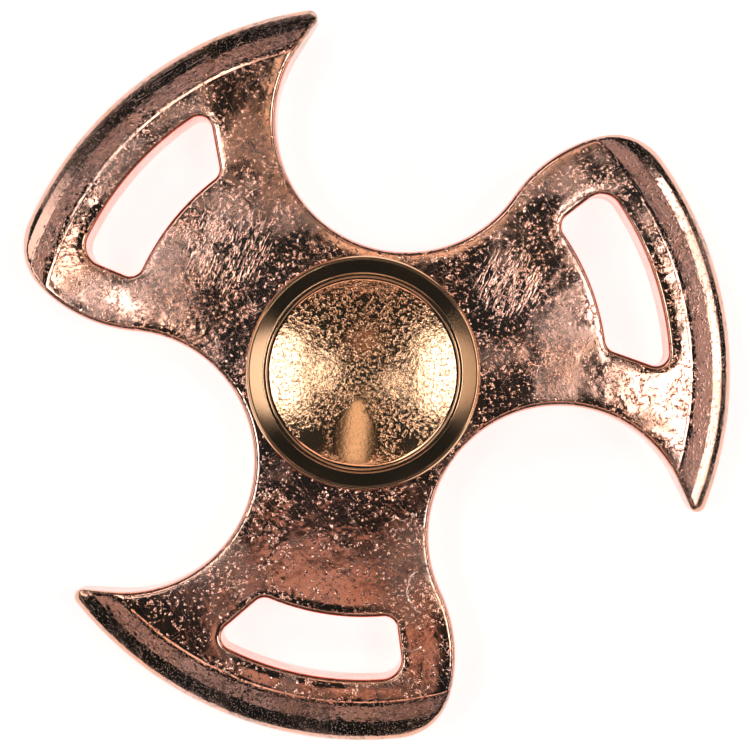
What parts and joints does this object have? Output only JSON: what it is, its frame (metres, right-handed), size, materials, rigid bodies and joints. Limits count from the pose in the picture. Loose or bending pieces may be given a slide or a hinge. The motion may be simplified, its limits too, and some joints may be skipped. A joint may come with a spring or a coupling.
{
  "type": "fidget spinner",
  "caption": "Metal fidget spinner with scythe-shaped blades, an open window in each, a ball bearing at the hub and dished finger caps.",
  "frame": {"origin": "on the spin axis at mid-thickness, between the two finger caps", "axes": "+Z along the spin axis out of the top cap; +X and +Y in the plane of the blades, with one blade towards -Y"},
  "size_m": [0.0714, 0.0738, 0.0118],
  "materials": {
    "rose_gold_plating": "mirror plated, fine orange peel and scratches",
    "cap_gold_plating": "mirror plated",
    "bearing_steel": "ground",
    "ball_steel": "polished",
    "cage_steel": "pressed",
    "shield_steel": "pressed",
    "spring_steel": "drawn wire"
  },
  "bodies": {
    "hub": {"inner_race": "bearing_steel", "top_cap": "cap_gold_plating", "bottom_cap": "cap_gold_plating"},
    "rotor": {"rotor_body": "rose_gold_plating", "outer_race": "bearing_steel", "shield_upper": "shield_steel", "shield_lower": "shield_steel", "snap_ring_upper": "spring_steel", "snap_ring_lower": "spring_steel"},
    "cage": {"cage_upper": "cage_steel", "cage_lower": "cage_steel", "cage_rivet_1": "cage_steel", "cage_rivet_2": "cage_steel", "cage_rivet_3": "cage_steel", "cage_rivet_4": "cage_steel", "cage_rivet_5": "cage_steel", "cage_rivet_6": "cage_steel", "cage_rivet_7": "cage_steel"},
    "ball_1": {"ball_1": "ball_steel"},
    "ball_2": {"ball_2": "ball_steel"},
    "ball_3": {"ball_3": "ball_steel"},
    "ball_4": {"ball_4": "ball_steel"},
    "ball_5": {"ball_5": "ball_steel"},
    "ball_6": {"ball_6": "ball_steel"},
    "ball_7": {"ball_7": "ball_steel"}
  },
  "joints": [
    {"name": "rotor_spin", "type": "hinge", "parent": "hub", "child": "rotor", "pos_m": [0, 0, 0], "axis": [0, 0, 1], "continuous": true},
    {"name": "cage_orbit", "type": "hinge", "parent": "hub", "child": "cage", "pos_m": [0, 0, 0], "axis": [0, 0, 1], "continuous": true},
    {"name": "ball_1_spin", "type": "hinge", "parent": "cage", "child": "ball_1", "pos_m": [0.0075, 0, 0], "axis": [0, 0, 1], "continuous": true},
    {"name": "ball_2_spin", "type": "hinge", "parent": "cage", "child": "ball_2", "pos_m": [0.00468, 0.00586, 0], "axis": [0, 0, 1], "continuous": true},
    {"name": "ball_3_spin", "type": "hinge", "parent": "cage", "child": "ball_3", "pos_m": [-0.00167, 0.00731, 0], "axis": [0, 0, 1], "continuous": true},
    {"name": "ball_4_spin", "type": "hinge", "parent": "cage", "child": "ball_4", "pos_m": [-0.00676, 0.00325, 0], "axis": [0, 0, 1], "continuous": true},
    {"name": "ball_5_spin", "type": "hinge", "parent": "cage", "child": "ball_5", "pos_m": [-0.00676, -0.00325, 0], "axis": [0, 0, 1], "continuous": true},
    {"name": "ball_6_spin", "type": "hinge", "parent": "cage", "child": "ball_6", "pos_m": [-0.00167, -0.00731, 0], "axis": [0, 0, 1], "continuous": true},
    {"name": "ball_7_spin", "type": "hinge", "parent": "cage", "child": "ball_7", "pos_m": [0.00468, -0.00586, 0], "axis": [0, 0, 1], "continuous": true}
  ],
  "couplings": [
    {"joint": "cage_orbit", "follows": "rotor_spin", "ratio": 0.6323},
    {"joint": "ball_1_spin", "follows": "rotor_spin", "ratio": 1.7573},
    {"joint": "ball_2_spin", "follows": "rotor_spin", "ratio": 1.7573},
    {"joint": "ball_3_spin", "follows": "rotor_spin", "ratio": 1.7573},
    {"joint": "ball_4_spin", "follows": "rotor_spin", "ratio": 1.7573},
    {"joint": "ball_5_spin", "follows": "rotor_spin", "ratio": 1.7573},
    {"joint": "ball_6_spin", "follows": "rotor_spin", "ratio": 1.7573},
    {"joint": "ball_7_spin", "follows": "rotor_spin", "ratio": 1.7573}
  ]
}
